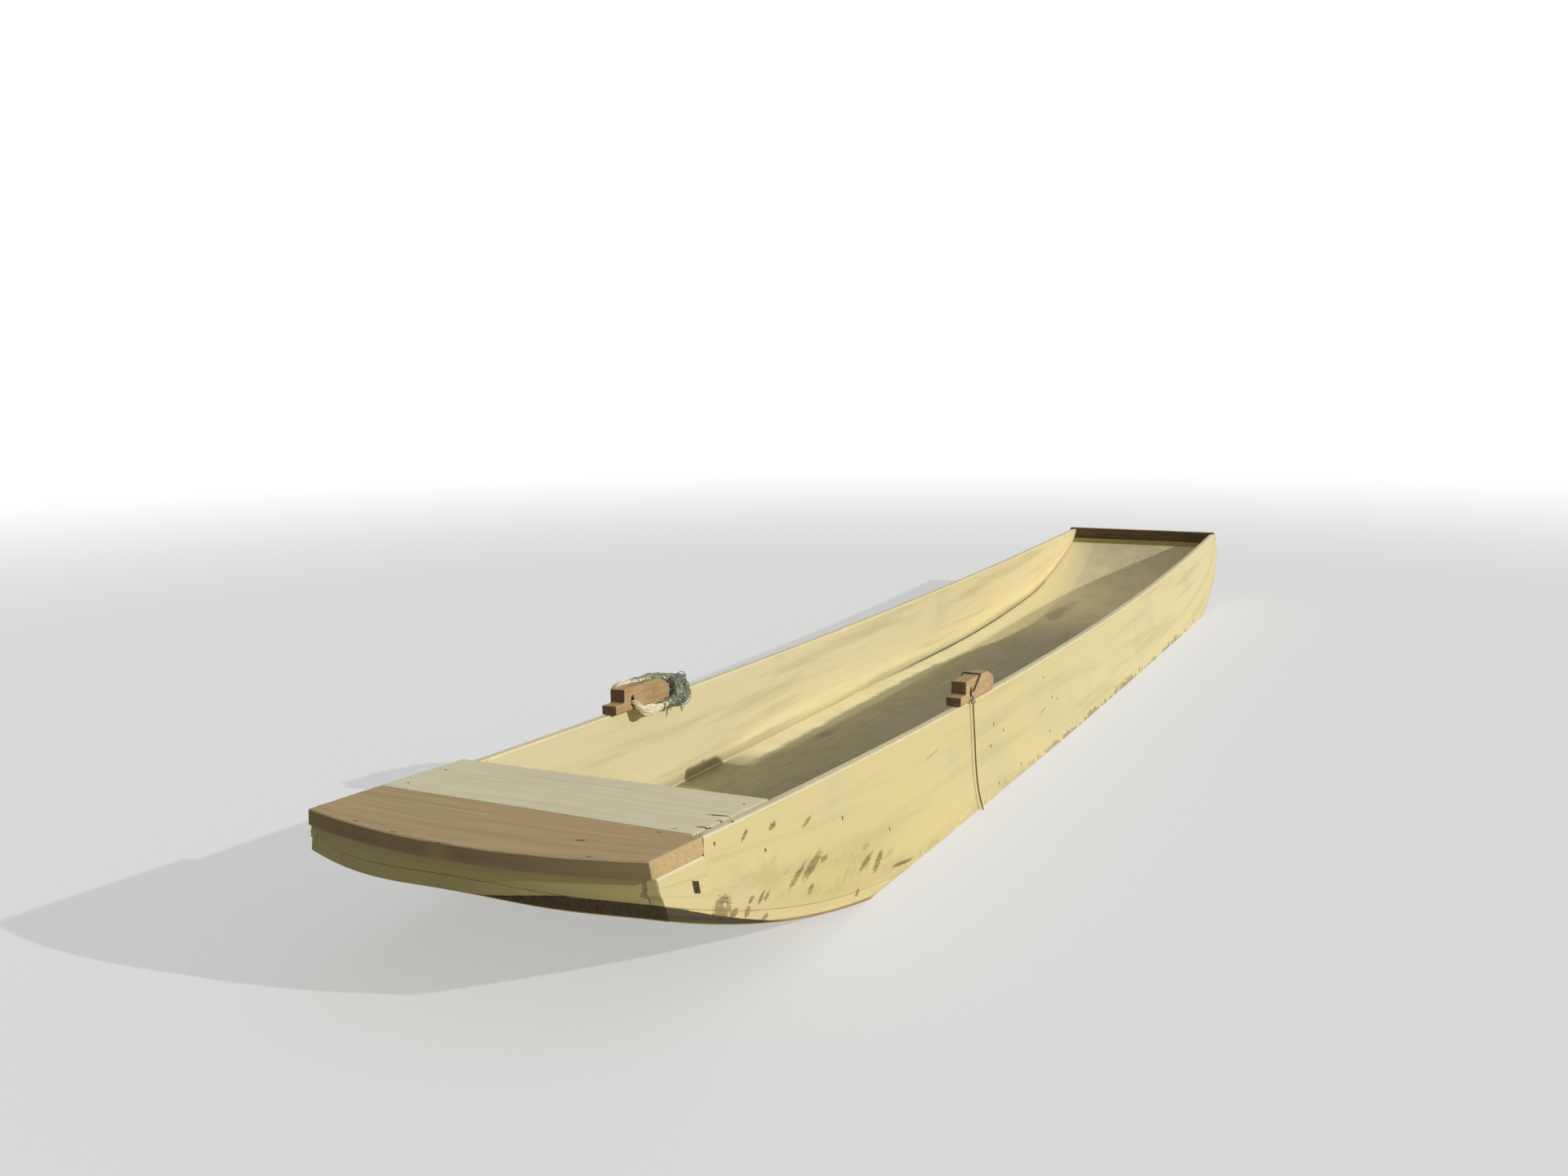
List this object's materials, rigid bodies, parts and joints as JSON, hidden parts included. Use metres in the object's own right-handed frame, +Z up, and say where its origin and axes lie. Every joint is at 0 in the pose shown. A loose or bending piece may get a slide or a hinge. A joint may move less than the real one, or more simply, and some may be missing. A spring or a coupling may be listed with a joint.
{
  "type": "plank-built flat-bottomed punt",
  "caption": "Long flat-bottomed wooden punt with two wide side planks, a bottom that rises to both ends, a short bow deck and stepped oar blocks.",
  "frame": {"origin": "middle of the whole boat in plan, at the level of the flat underside", "axes": "+Z up, -Y towards the bow, +X to the side that is on the right when the boat is seen from ahead of its bow"},
  "size_m": [1.0973, 6.8223, 0.4934],
  "materials": {
    "painted_sides": "worn cream paint over wood grain",
    "bottom_boards": "worn cream paint inside, bare and stained below",
    "bare_boards": "unpainted weathered plank",
    "grey_deck": "pale grey weathered plank",
    "block_wood": "unpainted sawn wood",
    "rope": "worn natural rope",
    "netting": "grey-green wound netting",
    "twine": "brown weathered twine"
  },
  "bodies": {
    "root": {"bottom_plank_far_left": "bottom_boards", "bottom_plank_far_right": "bottom_boards", "bottom_plank_left": "bottom_boards", "bottom_plank_right": "bottom_boards", "bow_board": "bare_boards", "bow_transom": "painted_sides", "cord_tail_right": "twine", "deck_board": "grey_deck", "deck_cleat": "grey_deck", "lashing_right": "twine", "oar_block_left": "block_wood", "oar_block_right": "block_wood", "side_plank_left": "painted_sides", "side_plank_right": "painted_sides", "stern_board": "bare_boards", "stern_transom": "painted_sides", "strop_left": "rope", "strop_wrap_left": "netting"}
  },
  "joints": []
}
